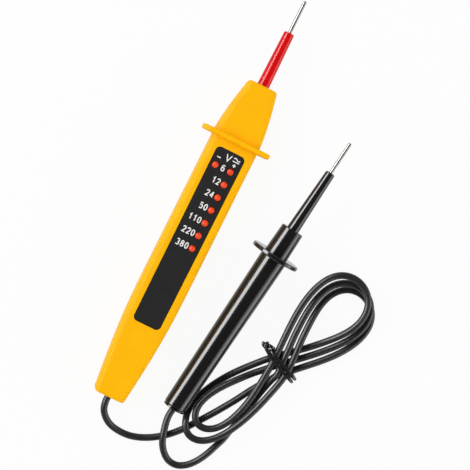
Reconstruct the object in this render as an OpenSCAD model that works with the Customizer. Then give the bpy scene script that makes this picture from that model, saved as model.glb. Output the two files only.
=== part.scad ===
// Two-pole voltage tester: a yellow display housing with a fixed probe tip, and a black
// hand probe joined to it by a thin lead that is folded into a tied bundle.
// Stations are measured along the tester from its rear end; Y = 0 is at origin_station.

/* [Housing] */
// Length of the grip, from the rear end to the black panel
grip_len = 34.4; // [28:0.1:40]
// Width of the housing below the guard
body_w = 20.4; // [19:0.1:23]
// Thickness of the housing, back to display face
body_h = 16; // [15:0.5:19]
// Width of the rear end
butt_w = 13.5; // [12:0.1:16]
// Thickness of the rear end
butt_h = 14.6; // [13:0.1:16]
// Length of the rear end's taper in width
butt_taper_len = 50; // [30:1:60]
// Length of the rear end's taper in thickness
butt_slope_len = 26; // [15:1:32]
// Length of the nose beyond the guard
nose_len = 25; // [21:0.1:32]
// Width of the nose at its flat end
nose_w = 12.8; // [11:0.1:15]
// Thickness of the nose at its flat end
nose_h = 11.6; // [10:0.1:14]
// Radius of the housing's long edges
edge_r = 2.2; // [1.6:0.1:3.2]
// Radius of the edges of the two ends
end_r = 0.9; // [0.6:0.1:2]
// Wall thickness of both shells
wall = 1.6; // [1.2:0.1:2]
// Station of the point that becomes the origin
origin_station = 60; // [50:1:70]

/* [Guard] */
// Distance from the black panel to the finger guard
guard_gap = 3.8; // [3:0.1:9]
// Thickness of the guard along the tester
guard_t = 2.2; // [2:0.1:4]
// Width of the guard across the tester
guard_w = 30.8; // [26:0.1:36]
// Height of the guard above the display face
guard_rise = 2.6; // [1:0.1:5]
// Corner radius of the guard seen from its end
guard_corner_r = 3.2; // [2.4:0.1:6]

/* [Display] */
// Length of the black panel
panel_len = 81.4; // [72:0.1:92]
// Width of the panel at its upper end
panel_w_top = 13.2; // [12:0.1:13.8]
// Width of the panel at its lower end
panel_w_low = 12.4; // [10:0.1:12.8]
// Corner radius of the panel
panel_r = 2; // [1:0.1:3]
// Thickness of the panel
panel_t = 0.5; // [0.3:0.1:0.7]
// Depth of the panel's face below the housing face
panel_inset = 0.15; // [0.05:0.05:0.3]
// Gap between the panel and the wall of its recess
panel_gap = 0.1; // [0.05:0.05:0.3]

/* [Lights] */
// Number of lights in the voltage scale
light_n = 7; // [5:1:7]
// Distance from the panel's upper end to the first scale light
light_in = 7.9; // [7:0.1:9]
// Distance from one scale light to the next
light_pitch = 6; // [5:0.05:6.4]
// Place of the scale lights across the tester
light_x = 3.2; // [2.8:0.1:4]
// Place of the polarity light across the tester
polarity_x = -3.9; // [-4.2:0.1:-2.5]
// Diameter of a light's dome
light_d = 3; // [2.5:0.1:3.2]
// Gap between a light and its hole
light_gap = 0.1; // [0.05:0.05:0.2]
// Height of a dome above the housing face
light_rise = 0.7; // [0.3:0.1:1]
// Width of the rim at the foot of a light
light_rim_d = 3.7; // [3.4:0.1:4]
// Thickness of that rim
light_rim_t = 0.9; // [0.6:0.1:1.2]
// Thickness of a light's wire legs
light_leg_w = 0.5; // [0.4:0.05:0.6]
// Distance between a light's two legs
light_leg_pitch = 2.2; // [1.8:0.1:2.4]

/* [Board] */
// How far the board runs on past the panel towards the rear end
board_run = 2.4; // [1:0.1:5]
// Distance from the board's upper end to the guard's rear face
board_guard_gap = 1.6; // [1:0.1:3]
// Gap between the board's edges and the housing wall
board_side_gap = 1.5; // [0.8:0.1:2.5]
// Thickness of the board
board_t = 1.6; // [1.2:0.1:2]
// Height of the board's upper face above the back
board_top = 10.6; // [10:0.1:11]
// Diameter of a resistor's body
resistor_d = 2.3; // [1.8:0.1:2.5]
// Length of a resistor's body
resistor_len = 6.2; // [5:0.1:6.5]
// Diameter of a diode's body
diode_d = 2; // [1.6:0.1:2.2]
// Length of a diode's body
diode_len = 4.2; // [3.5:0.1:5]
// Diameter of the components' wires
wire_d = 0.6; // [0.5:0.05:0.7]
// Distance from the board's edge to a component's wire
wire_edge = 2.1; // [1.6:0.1:2.4]
// Gap between a component's body and the board
lift_gap = 0.3; // [0.2:0.05:0.5]
// Distance from the last light to the first diode
diode_light_gap = 5.5; // [4:0.5:8]
// Distance from the lower screw to the last diode
diode_screw_gap = 6; // [5:0.5:9]
// Number of diodes
diode_n = 3; // [1:1:3]

/* [Screws] */
// Distance from the panel's lower end to the lower screw
screw_in = 7.6; // [5:0.1:10]
// Distance from the guard's rear face to the upper screw
screw_guard_gap = 5.1; // [4.6:0.1:5.6]
// Shank diameter of the screws
screw_d = 2.2; // [2:0.1:2.4]
// Head diameter of the screws
screw_head_d = 4.2; // [3.8:0.1:4.6]
// Head thickness of the screws
screw_head_t = 1.5; // [1.2:0.1:1.8]
// Depth of the screw's head below the back
screw_sink = 0.9; // [0.5:0.1:1.5]
// Length of a screw below its head
screw_len = 10; // [9:0.5:10.5]
// Radial gap between a screw's head and its well
head_gap = 0.3; // [0.2:0.05:0.5]
// Radial gap of the screw in the rear shell and the board
shank_gap = 0.25; // [0.15:0.05:0.4]
// Radial gap of the screw in the front shell's pillar
thread_gap = 0.03; // [0.01:0.01:0.05]
// Wall of the screw pillars
pillar_wall = 1.1; // [0.9:0.1:1.3]

/* [Tip] */
// Diameter of the red sleeve at the housing
sleeve_d = 5.4; // [4.8:0.1:6]
// Diameter of the red sleeve at its end
sleeve_end_d = 4.6; // [4:0.1:4.7]
// Length of the red sleeve outside the housing
sleeve_len = 25.2; // [15:0.1:35]
// Length of the red sleeve inside the housing
sleeve_seat = 7; // [5:0.5:9]
// Diameter of the bare steel pins
pin_d = 1.6; // [1.2:0.1:1.7]
// Diameter of the pins inside their sleeves
pin_root_d = 2; // [1.8:0.1:2.2]
// Length of the tester's bare pin
pin_len = 15; // [10:0.5:20]
// Length of the tester's pin behind its sleeve
pin_root = 8; // [6:0.5:10]
// Radius of the point of each pin
point_r = 0.6; // [0.3:0.1:0.7]
// Radial gap between a pin and its sleeve
pin_gap = 0.03; // [0.01:0.01:0.05]
// Radial gap between a sleeve and its seat
seat_gap = 0.04; // [0.02:0.01:0.1]
// Diameter of the crimp on the root of each pin
crimp_d = 3.2; // [2.8:0.1:3.4]
// Length of each crimp
crimp_len = 5; // [4:0.5:7]

/* [Lead] */
// Diameter of the lead
lead_d = 3; // [2.6:0.1:3.2]
// Outer diameter of the lead's gland
gland_d = 5.2; // [4.8:0.1:6]
// Outer diameter of the gland's collar inside the housing
gland_collar_d = 7; // [6.4:0.1:8]
// Thickness of that collar
gland_collar_t = 1.2; // [1:0.1:2]
// Radial gap of the lead in its gland
lead_gap = 0.05; // [0.02:0.01:0.1]
// Length of the lead's jacket inside the housing
jacket_in = 13; // [10:1:16]
// Diameter of the clamp ring on the jacket
clamp_d = 6.4; // [5:0.1:7]
// Length of the clamp ring
clamp_len = 3.5; // [2:0.5:5]

/* [Probe] */
// Length of the black probe with its pin
probe_len = 136; // [120:0.1:150]
// Diameter of the probe's barrel at its rear end
barrel_d = 10.2; // [9:0.1:11]
// Diameter of the barrel below the guard
barrel_end_d = 11.9; // [11:0.1:13]
// Station of the probe's guard disc
disc_at = 78.6; // [70:0.1:85]
// Diameter of the guard disc
disc_d = 22; // [19:0.1:26]
// Thickness of the guard disc
disc_t = 1.8; // [1.4:0.1:2.5]
// Diameter of the collar above the disc
collar_d = 10.7; // [9.6:0.1:11]
// Diameter of the collar at its end
collar_end_d = 10.1; // [9:0.1:10.4]
// From the guard disc's middle to the collar's end
collar_run = 13.5; // [8:0.1:18]
// Diameter of the black sleeve at the collar
stem_d = 5.5; // [4.8:0.1:6]
// Diameter of the black sleeve at its end
stem_end_d = 4.3; // [3.6:0.1:4.6]
// Length of the probe's bare pin
tip_len = 15; // [10:0.1:20]
// Wall of the hollow barrel
barrel_wall = 1.6; // [1.2:0.1:2]
// Thickness of the end cap's flange
cap_t = 0.9; // [0.6:0.1:1.4]
// Depth of the end cap's plug inside the barrel
cap_depth = 5; // [3:0.5:8]
// Width of the groove between cap and barrel
cap_groove = 0.3; // [0.2:0.05:0.5]
// Rounding of the guard disc's rim
rim_r = 0.3; // [0.1:0.1:0.7]
// Rounding of the moulded edges
soft_r = 0.6; // [0.3:0.1:0.8]
// Place of the probe's rear end across the tester
probe_x = 27.6; // [26:0.1:28]
// Station of the probe's rear end
probe_station = 6.9; // [6:0.1:9]
// Turn of the probe away from the tester's axis, in degrees
probe_yaw = 6.7; // [5:0.1:9]

/* [Hidden] */

$fn = 40;
// How far a cut runs past the face that it opens
over = 0.5;
split_z = body_h / 2;
panel_from = grip_len;
panel_to = panel_from + panel_len;
guard_back = panel_to + guard_gap;
guard_at = guard_back + guard_t / 2;
nose_from = guard_back + guard_t;
body_len = nose_from + nose_len;
butt_front_d = butt_h - split_z;
lead_z = split_z;

yellow = [1, 0.72, 0];
black = [0.08, 0.08, 0.09];
steel = [0.75, 0.76, 0.78];

function mix(a, b, t) = a + (b - a) * t;
function clamp01(t) = min(1, max(0, t));
function smooth(t) = let (c = clamp01(t)) c * c * (3 - 2 * c);

module at_station(s, x = 0, z = 0) {
    translate([x, s - origin_station, z]) children();
}

// A shape drawn along +Z, laid along +Y
module along_y() {
    rotate([-90, 0, 0]) children();
}

// Housing outline and section

// The nose narrows slowly at first, then faster
nose_power = 1.45;
function nose_share(s) = pow(clamp01((s - nose_from) / nose_len), nose_power);
// Rounding of the two ends: how far the section shrinks at a station
function end_shrink(s) = let (e = min(s, body_len - s))
    e >= end_r ? 0 : end_r - sqrt(pow(end_r, 2) - pow(end_r - e, 2));
function full_half_w(s) = s > nose_from
    ? mix(body_w, nose_w, nose_share(s)) / 2
    : mix(butt_w, body_w, sin(90 * clamp01(s / butt_taper_len))) / 2;
function full_front(s) = s > nose_from
    ? mix(split_z, nose_h / 2, nose_share(s))
    : mix(butt_front_d, split_z, sin(90 * clamp01(s / butt_slope_len)));
function full_back(s) = s > nose_from ? mix(split_z, nose_h / 2, nose_share(s)) : split_z;
function half_w(s) = full_half_w(s) - end_shrink(s);
function depth(s, front) = (front ? full_front(s) : full_back(s)) - end_shrink(s);

// Stations of the rings, as shares of the stretch that they follow
end_shares = [0, 0.12, 0.35, 1];
taper_shares = [0.1, 0.2, 0.3, 0.4, 0.5, 0.64, 0.8, 1];
nose_shares = [0, 0.14, 0.28, 0.42, 0.56, 0.7, 0.82];
cavity_from = 3.4 * wall / 1.6;
cavity_to = body_len - sleeve_seat - wall;
// Length over which the hollow opens at each of its ends
cavity_step = wall / 4;
taper_start = cavity_from + cavity_step;

function ring_stations() = concat(
    [for (t = end_shares) end_r * t],
    [cavity_from, taper_start],
    [for (t = taper_shares) mix(taper_start, butt_taper_len, t)],
    [for (t = nose_shares) mix(guard_to + guard_step, cavity_to - cavity_step, t)],
    [cavity_to - cavity_step, cavity_to],
    [for (i = [len(end_shares) - 1:-1:0]) body_len - end_r * end_shares[i]]);

// Points of a half section, from its left foot over its top to its right foot
arc_n = 5;
function arch(w, d, r) = concat(
    [[-w, 0]],
    [for (i = [0:arc_n]) let (a = 180 - 90 * i / arc_n) [r - w + r * cos(a), d - r + r * sin(a)]],
    [for (i = [0:arc_n]) let (a = 90 - 90 * i / arc_n) [w - r + r * cos(a), d - r + r * sin(a)]],
    [[w, 0]]);
arch_n = 2 * arc_n + 4;
// The same number of points on the straight line between the two feet
function foot_line(w) = [for (i = [0:arch_n - 1]) [mix(-w, w, i / (arch_n - 1)), 0]];
function backwards(pts) = [for (i = [len(pts) - 1:-1:0]) pts[i]];
function blend(a, b, t) = [for (i = [0:len(a) - 1]) mix(a[i], b[i], t)];

// Closed outline of a shell's wall at one station; open is 0 where the shell is solid
function wall_ring(w, d, r, wi, di, ri, open) =
    concat(arch(w, d, r), backwards(blend(foot_line(wi), arch(wi, di, ri), open)));

// Triangles of an end face, between its outer arch and its inner one
function strip(at, n, last) = [for (i = [0:n / 2 - 2])
    let (o = at + i, p = at + i + 1, q = at + n - 2 - i, r = at + n - 1 - i, left = i < n / 4)
    each !last ? (left ? [[o, p, r], [p, q, r]] : [[o, p, q], [o, q, r]])
        : (left ? [[o, r, p], [p, r, q]] : [[o, q, p], [o, r, q]])];

// One solid through a list of rings, each [station, closed list of [x, depth]]
module lofted(rings) {
    n = len(rings[0][1]);
    m = len(rings);
    pts = [for (g = rings) for (p = g[1]) [p[0], g[0] - origin_station, p[1]]];
    sides = [for (k = [0:m - 2]) for (i = [0:n - 1])
        let (a = k * n + i, b = k * n + (i + 1) % n)
        each [[a, b + n, b], [a, a + n, b + n]]];
    polyhedron(pts, concat(sides, strip(0, n, false), strip((m - 1) * n, n, true)), convexity = 6);
}

function cavity_open(s) = (s > cavity_from && s < cavity_to) ? 1 : 0;
inner_r = edge_r - wall / 2;
function shell_ring(s, front) = let (w = half_w(s), d = depth(s, front))
    [s, wall_ring(w, d, edge_r, w - wall, d - wall, inner_r, cavity_open(s))];
function rings_between(from, to, front) = [for (s = ring_stations())
    if (s >= from && s <= to) shell_ring(s, front)];

// The guard is a band round the housing with a rounded rim
guard_shares = [-1, -0.75, 0, 0.75, 1];
guard_round_shares = [0.25, 0.06, 0, 0.06, 0.25];
// How far the housing's wall runs out to the guard's rim over
guard_step = guard_t / 50;
guard_from = guard_at - guard_t / 2 - guard_step;
guard_to = guard_at + guard_t / 2 + guard_step;
function guard_rings(front) = concat(
    [shell_ring(guard_from, front)],
    [for (i = [0:len(guard_shares) - 1])
        let (s = guard_at + guard_shares[i] * guard_t / 2,
            cut = guard_round_shares[i] * guard_t,
            w = guard_w / 2 - cut,
            d = front ? split_z + guard_rise - cut : split_z,
            inner_w = half_w(s) - wall,
            inner_d = depth(s, front) - wall)
        [s, wall_ring(w, d, guard_corner_r, inner_w, inner_d, inner_r, 1)]],
    [shell_ring(guard_to, front)]);

// A half housing, drawn upwards from the split plane
module half_housing(front) {
    lofted(concat(rings_between(0, guard_from, front), guard_rings(front),
        rings_between(guard_to, body_len, front)));
}

module lead_bore() {
    at_station(-over, 0, lead_z) along_y()
        cylinder(d = gland_d + 2 * seat_gap, h = cavity_from + cavity_step + 2 * over);
}

module sleeve_bore() {
    at_station(body_len - sleeve_seat - wall - over, 0, split_z) along_y()
        cylinder(d = sleeve_d + 2 * seat_gap, h = sleeve_seat + wall + 2 * over);
}

screw_low_at = panel_from + screw_in;
screw_stations = [screw_low_at, guard_back - screw_guard_gap];
pillar_d = screw_d + 2 * shank_gap + 2 * pillar_wall;
well_d = screw_head_d + 2 * head_gap;
well_floor = screw_sink + screw_head_t;
pilot_depth = wall / 2;

// Outline of the panel or of its recess, grown all round
module panel_outline(grow) {
    r = panel_r + grow;
    for (e = [[panel_from, panel_w_low], [panel_to, panel_w_top]]) {
        s = e[0];
        inward = s == panel_from ? panel_r : -panel_r;
        for (side = [-1, 1])
            translate([side * (e[1] / 2 - panel_r), s + inward - origin_station]) circle(r = r);
    }
    low = panel_from + panel_r - origin_station;
    top = panel_to - panel_r - origin_station;
    polygon([[-panel_w_low / 2 - grow, low], [panel_w_low / 2 + grow, low],
        [panel_w_top / 2 + grow, top], [-panel_w_top / 2 - grow, top]]);
    for (e = [[low, panel_w_low, -1], [top, panel_w_top, 1]]) {
        half = e[1] / 2 - panel_r;
        from = e[2] < 0 ? e[0] - r : e[0];
        translate([-half, from]) square([2 * half, r]);
    }
}

// Lights: place across and station of each
light_from = panel_to - light_in;
function light_station(i) = light_from - i * light_pitch;
light_places = concat([[polarity_x, light_from]],
    [for (i = [0:light_n - 1]) [light_x, light_station(i)]]);

module light_holes(grow) {
    for (p = light_places)
        at_station(p[1], p[0], board_top) cylinder(d = light_d + 2 * grow, h = body_h);
}

module front_shell() {
    color(yellow)
    difference() {
        union() {
            translate([0, 0, split_z]) half_housing(true);
            for (s = screw_stations)
                at_station(s, 0, board_top)
                    cylinder(d = pillar_d, h = body_h - wall / 2 - board_top);
        }
        lead_bore();
        sleeve_bore();
        translate([0, 0, body_h - panel_t - panel_inset])
            linear_extrude(height = panel_t + panel_inset + over) panel_outline(panel_gap);
        light_holes(light_gap);
        for (s = screw_stations)
            at_station(s, 0, board_top - over)
                cylinder(d = screw_d + 2 * thread_gap, h = body_h - wall - pilot_depth - board_top + over);
    }
}

module rear_shell() {
    color(yellow)
    difference() {
        union() {
            translate([0, 0, split_z]) mirror([0, 0, 1]) half_housing(false);
            for (s = screw_stations)
                at_station(s, 0, wall / 2)
                    cylinder(d = well_d + 2 * pillar_wall, h = board_top - board_t - wall / 2);
        }
        lead_bore();
        sleeve_bore();
        for (s = screw_stations) {
            at_station(s, 0, -over) cylinder(d = well_d, h = well_floor + over);
            at_station(s, 0, 0) cylinder(d = screw_d + 2 * shank_gap, h = board_top);
        }
    }
}

module display_panel() {
    color(black)
    difference() {
        translate([0, 0, body_h - panel_t - panel_inset])
            linear_extrude(height = panel_t) panel_outline(0);
        light_holes(light_gap);
    }
}

// A light: domed body, rim under the housing wall and two legs through the board
light_top = body_h + light_rise;
light_rim_gap = 0.1;
leg_tail = 1;
roof_z = body_h - wall;
module light(i) {
    p = light_places[i];
    rim_z = roof_z - light_rim_gap - light_rim_t;
    color([0.95, 0.25, 0.12])
    at_station(p[1], p[0], 0) {
        translate([0, 0, rim_z]) cylinder(d = light_rim_d, h = light_rim_t);
        translate([0, 0, rim_z]) cylinder(d = light_d, h = light_top - light_d / 2 - rim_z);
        translate([0, 0, light_top - light_d / 2]) sphere(d = light_d);
        for (side = [-1, 1])
            translate([-light_leg_w / 2, side * light_leg_pitch / 2 - light_leg_w / 2,
                board_top - board_t - leg_tail])
                cube([light_leg_w, light_leg_w, rim_z - board_top + board_t + leg_tail]);
    }
}

leg_hole_gap = 0.1;
board_from = panel_from - board_run;
board_to = guard_back - board_guard_gap;
board_w = body_w - 2 * wall - 2 * board_side_gap;
module circuit_board() {
    color([0.1, 0.42, 0.2])
    difference() {
        at_station(board_from, -board_w / 2, board_top - board_t)
            cube([board_w, board_to - board_from, board_t]);
        for (s = screw_stations)
            at_station(s, 0, board_top - board_t - over)
                cylinder(d = screw_d + 2 * shank_gap, h = board_t + 2 * over);
        for (p = light_places)
            for (side = [-1, 1])
                at_station(p[1] + side * light_leg_pitch / 2, p[0], board_top - board_t - over)
                    cylinder(d = light_leg_w * sqrt(2) + 2 * leg_hole_gap, h = board_t + 2 * over);
        for (s = concat(resistor_stations, diode_stations))
            for (side = [-1, 1])
                at_station(s, side * wire_span / 2, board_top - board_t - over)
                    cylinder(d = wire_d + 2 * leg_hole_gap, h = board_t + 2 * over);
    }
}

// A body lying across the board's underside, with a bent wire at each end
wire_span = board_w - 2 * wire_edge;
solder_rise = 0.4;
resistor_stations = [for (i = [0:light_n - 2]) light_station(i) - light_pitch / 2];
diodes_from = light_station(light_n - 1) - diode_light_gap;
diodes_to = screw_low_at + diode_screw_gap;
diode_stations = [for (i = [0:diode_n - 1]) mix(diodes_from, diodes_to, i / max(1, diode_n - 1))];
module component(s, d, l) {
    z = board_top - board_t - lift_gap - d / 2;
    at_station(s, 0, z) {
        rotate([0, 90, 0]) cylinder(d = d, h = l, center = true);
        rotate([0, 90, 0]) cylinder(d = wire_d, h = wire_span + wire_d, center = true);
        for (side = [-1, 1])
            translate([side * wire_span / 2, 0, 0])
                cylinder(d = wire_d, h = board_top - z + solder_rise);
    }
}

module resistors() {
    color([0.55, 0.75, 0.85])
    for (s = resistor_stations)
        component(s, resistor_d, resistor_len);
}

module diodes() {
    color([0.15, 0.12, 0.12])
    for (s = diode_stations)
        component(s, diode_d, diode_len);
}

slot_w = 0.6;
slot_depth = 0.8;
slot_share = 0.6;
module housing_screws() {
    color(steel)
    for (s = screw_stations)
        at_station(s, 0, screw_sink)
            difference() {
                union() {
                    cylinder(d = screw_head_d, h = screw_head_t);
                    cylinder(d = screw_d, h = screw_head_t + screw_len);
                }
                for (a = [0, 90])
                    rotate([0, 0, a])
                        translate([-slot_share * screw_head_d / 2, -slot_w / 2, -over])
                            cube([slot_share * screw_head_d, slot_w, slot_depth + over]);
            }
}

// Sleeves and pins, drawn along +Z from their seated end

// Outline of a rounded end of radius r on a rod of radius rod_r that ends at z
round_n = 4;
function rounded_end(rod_r, r, z) =
    [for (i = [0:round_n]) let (a = 90 * i / round_n) [rod_r - r + r * cos(a), z - r + r * sin(a)]];

module sleeve_shape(seat, r0, r1, len, bore_r) {
    r_soft = r1 / 3;
    rotate_extrude() polygon(concat([[bore_r, -seat], [r0, -seat], [r0, 0]],
        rounded_end(r1, r_soft, len), [[bore_r, len]]));
}

// A pin, thicker where it sits in its sleeve
module pin_shape(root, len, r) {
    root_r = pin_root_d / 2;
    rotate_extrude() polygon(concat([[0, -root], [root_r, -root], [root_r, 0], [r, 0]],
        rounded_end(r, point_r, len), [[0, len]]));
}

module red_sleeve() {
    color([0.86, 0, 0.06])
    at_station(body_len, 0, split_z) along_y()
        sleeve_shape(sleeve_seat, sleeve_d / 2, sleeve_end_d / 2, sleeve_len, pin_root_d / 2 + pin_gap);
}

module tester_pin() {
    color(steel)
    at_station(body_len + sleeve_len, 0, split_z) along_y()
        pin_shape(sleeve_len + sleeve_seat + pin_root, pin_len, pin_d / 2);
}

// A crimp tube gripping a pin's root, its other end gripping the wire
pin_root_station = body_len - sleeve_seat - pin_root;
crimp_grip = 3;
module pin_crimp() {
    color([0.8, 0.7, 0.45])
    at_station(pin_root_station + crimp_grip - crimp_len, 0, split_z) along_y()
        difference() {
            cylinder(d = crimp_d, h = crimp_len);
            translate([0, 0, -over]) cylinder(d = pin_root_d + 2 * pin_gap, h = crimp_len + 2 * over);
        }
}

// A straight wire between two points
module wire(a, b, d) {
    v = b - a;
    l = norm(v);
    translate(a) rotate([0, acos(v[2] / l), atan2(v[1], v[0])]) cylinder(d = d, h = l);
}

wire_end_gap = 0.2;
pin_wire_d = 1.2;
module pin_wire() {
    color([0.7, 0.1, 0.1])
    wire([0, pin_root_station - wire_end_gap - origin_station, split_z],
        [0, board_to + wire_end_gap / 2 - origin_station, board_top - board_t / 2 - wire_end_gap],
        pin_wire_d);
}

// The lead where the tester holds it

gland_in = cavity_from + cavity_step;
module lead_gland() {
    color(black)
    at_station(0, 0, lead_z) along_y()
        difference() {
            union() {
                cylinder(d = gland_d, h = gland_in + gland_collar_t);
                translate([0, 0, gland_in + wire_end_gap]) cylinder(d = gland_collar_d, h = gland_collar_t);
            }
            translate([0, 0, -over])
                cylinder(d = lead_d + 2 * lead_gap, h = gland_in + 2 * gland_collar_t + 2 * over);
        }
}

module lead_clamp() {
    color(steel)
    at_station(gland_in + 2 * gland_collar_t, 0, lead_z) along_y()
        difference() {
            cylinder(d = clamp_d, h = clamp_len);
            translate([0, 0, -over]) cylinder(d = lead_d + 2 * lead_gap, h = clamp_len + 2 * over);
        }
}

module lead_jacket() {
    color(black)
    at_station(0, 0, lead_z) along_y() cylinder(d = lead_d, h = jacket_in);
}

module lead_core() {
    color([0.7, 0.1, 0.1])
    wire([0, jacket_in + wire_end_gap / 2 - origin_station, lead_z],
        [0, board_from - wire_end_gap / 2 - origin_station, board_top - board_t / 2 - wire_end_gap],
        pin_wire_d);
}

// The black probe lies on its disc and its rear end

barrel_r = barrel_d / 2;
disc_r = disc_d / 2;
probe_tilt = asin((disc_r - barrel_r) / disc_at);
module at_probe() {
    translate([probe_x, probe_station - origin_station, barrel_r * cos(probe_tilt)])
        rotate([probe_tilt, 0, -probe_yaw]) along_y() children();
}

collar_to = disc_at + collar_run;
stem_from = collar_to;
stem_len = probe_len - tip_len - stem_from;
barrel_bore_r = barrel_r - barrel_wall;
bore_to = disc_at - barrel_wall;
disc_back = disc_at - disc_t / 2;
disc_front = disc_at + disc_t / 2;
stem_seat = collar_to - disc_back;
crimp_from = bore_to - 2 * crimp_len;

// Barrel and guard disc are one moulding
module probe_barrel() {
    color(black)
    at_probe()
        rotate_extrude()
            polygon(concat(
                [[barrel_bore_r, cap_t + cap_groove]],
                [[barrel_r - soft_r / 2, cap_t + cap_groove], [barrel_r, cap_t + cap_groove + soft_r / 2]],
                [[barrel_end_d / 2, disc_back - soft_r], [barrel_end_d / 2 + soft_r, disc_back]],
                [[disc_r - rim_r, disc_back], [disc_r, disc_back + rim_r]],
                [[disc_r, disc_front - rim_r], [disc_r - rim_r, disc_front]],
                [[stem_d / 2 + seat_gap, disc_front], [stem_d / 2 + seat_gap, bore_to],
                    [barrel_bore_r, bore_to]]));
}

module probe_collar() {
    color(black)
    at_probe()
        translate([0, 0, disc_front])
            rotate_extrude()
                polygon(concat([[stem_d / 2 + seat_gap, 0], [collar_d / 2, 0]],
                    rounded_end(collar_end_d / 2, soft_r, collar_to - disc_front),
                    [[stem_d / 2 + seat_gap, collar_to - disc_front]]));
}

module probe_stem() {
    color(black)
    at_probe()
        translate([0, 0, stem_from])
            sleeve_shape(stem_seat, stem_d / 2, stem_end_d / 2, stem_len, pin_root_d / 2 + pin_gap);
}

module probe_pin() {
    color(steel)
    at_probe()
        translate([0, 0, probe_len - tip_len])
            pin_shape(probe_len - tip_len - crimp_from - crimp_len, tip_len, pin_d / 2);
}

module probe_cap() {
    color(black)
    at_probe()
        rotate_extrude()
            polygon([[lead_d / 2 + lead_gap, 0], [barrel_r - soft_r, 0], [barrel_r - soft_r / 3, soft_r / 3],
                [barrel_r - soft_r / 3, cap_t], [barrel_bore_r - seat_gap, cap_t],
                [barrel_bore_r - seat_gap, cap_depth], [lead_d / 2 + lead_gap, cap_depth]]);
}

module probe_crimp() {
    color([0.8, 0.7, 0.45])
    at_probe()
        translate([0, 0, crimp_from])
            difference() {
                cylinder(d = crimp_d, h = 2 * crimp_len);
                translate([0, 0, -over]) cylinder(d = pin_root_d + 2 * pin_gap, h = 2 * crimp_len + 2 * over);
            }
}

probe_jacket_len = 4 * cap_depth;
module probe_jacket() {
    color(black)
    at_probe() cylinder(d = lead_d, h = probe_jacket_len);
}

module probe_core() {
    color([0.7, 0.1, 0.1])
    at_probe()
        translate([0, 0, probe_jacket_len])
            cylinder(d = pin_wire_d, h = crimp_from + crimp_len - wire_end_gap - probe_jacket_len);
}

// Swept tubes

function unit(v) = v / norm(v);
// Direction of a path at point i: the mean of its two neighbours' directions
function path_dir(p, i) = let (n = len(p) - 1)
    i == 0 ? unit(p[1] - p[0]) : i == n ? unit(p[n] - p[n - 1])
    : unit(unit(p[i] - p[i - 1]) + unit(p[i + 1] - p[i]));

// A tube of the given radius through a path; ref is never along the path
module tube(p, r, sides, ref) {
    n = len(p);
    pts = [for (i = [0:n - 1])
        let (t = path_dir(p, i), u = unit(cross(ref, t)), v = cross(t, u))
        for (k = [0:sides - 1]) let (a = 360 * (k + 0.5) / sides)
        p[i] + r * cos(a) * u + r * sin(a) * v];
    skin = [for (i = [0:n - 2]) for (k = [0:sides - 1])
        let (a = i * sides + k, b = i * sides + (k + 1) % sides)
        each [[a, b + sides, b], [a, a + sides, b + sides]]];
    ends = [for (k = [1:sides - 2])
        each [[0, k, k + 1], [(n - 1) * sides, (n - 1) * sides + k + 1, (n - 1) * sides + k]]];
    polyhedron(pts, concat(skin, ends), convexity = 10);
}

// The tied bundle: five loops of the lead, three to the right and two to the left of the tie.
// At the tie the runs lie three wide in two layers, and each run keeps a slot, 1 to 3.

cord_r = lead_d / 2;
waist = [60.9, -15.8];
slot_dir = 155;
slot_pitch = 4.35;
layer_step = 3.64;
waist_low = 3.1;
waist_high = waist_low + layer_step;
floor_z = cord_r;
second_z = 5;
bridge_z = 5.3;
third_z = 8.5;
// Distance from the tie over which a run keeps its layer
hold_len = 17;
// Where, measured from the tie, the left loops' runs start to leave their layer, and over what length
low_run_from = 9;
low_run_len = 10;
high_run_from = 11;
high_run_len = 11;
loop_share = 0.045;
loop_steps = 20;
joint_steps = 3;
straight_end = 3;
// Each loop: slots in and out, length, half width, direction, bow, height at its far end,
// heights at the tie on the way out and back, side of its axis that it takes first, and how
// far its slot fades out at its far end
loops = [
    [3, 3, 46, 11.4, 67.7, 0, floor_z, waist_low, waist_high, -1, 0.31],
    [3, 1, 49.8, 7.5, 241.3, 1.5, bridge_z, waist_high, waist_low, 1, 0.36],
    [1, 1, 48.1, 11.9, 67.1, 1.1, third_z, waist_low, waist_high, -1, 0.33],
    [1, 2, 43.9, 8.3, 245.2, -1.1, second_z, waist_high, waist_low, 1, 0.29],
    [2, 2, 47.2, 11.7, 67.7, -0.2, second_z, waist_low, waist_high, -1, 0.35]];

function heading(a) = [cos(a), sin(a)];
function loop_z_in(k, t, x) = let (q = loops[k], l = q[2])
    q[9] < 0 ? mix(q[8], q[6], smooth((x - hold_len) / (0.8 * l - hold_len)))
    : k == 1 ? mix(q[6], floor_z, smooth((t - 0.57) / 0.11))
        + (q[8] - floor_z) * (t > 0.6 ? 1 - smooth((x - low_run_from) / low_run_len) : 0)
    : mix(q[8], q[6], smooth((x - high_run_from) / high_run_len));
function loop_point(k, t) = let (q = loops[k], l = q[2],
    x = l * sin(180 * t),
    y = q[9] * q[3] * sin(360 * t) + q[5] * pow(sin(180 * t), 2),
    slot = mix(2 - q[0], 2 - q[1], smooth(t)) * slot_pitch * (1 - q[10] * sin(180 * t)),
    z = t < 0.5 ? mix(q[7], q[6], smooth((x - hold_len) / (0.8 * l - hold_len)))
        : loop_z_in(k, t, x),
    f = waist + x * heading(q[4]) + y * heading(q[4] + 90) + slot * heading(slot_dir))
    [f[0], f[1], z];
function loop_path(k) = [for (i = [0:loop_steps])
    loop_point(k, mix(loop_share, 1 - loop_share, i / loop_steps))];
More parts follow.
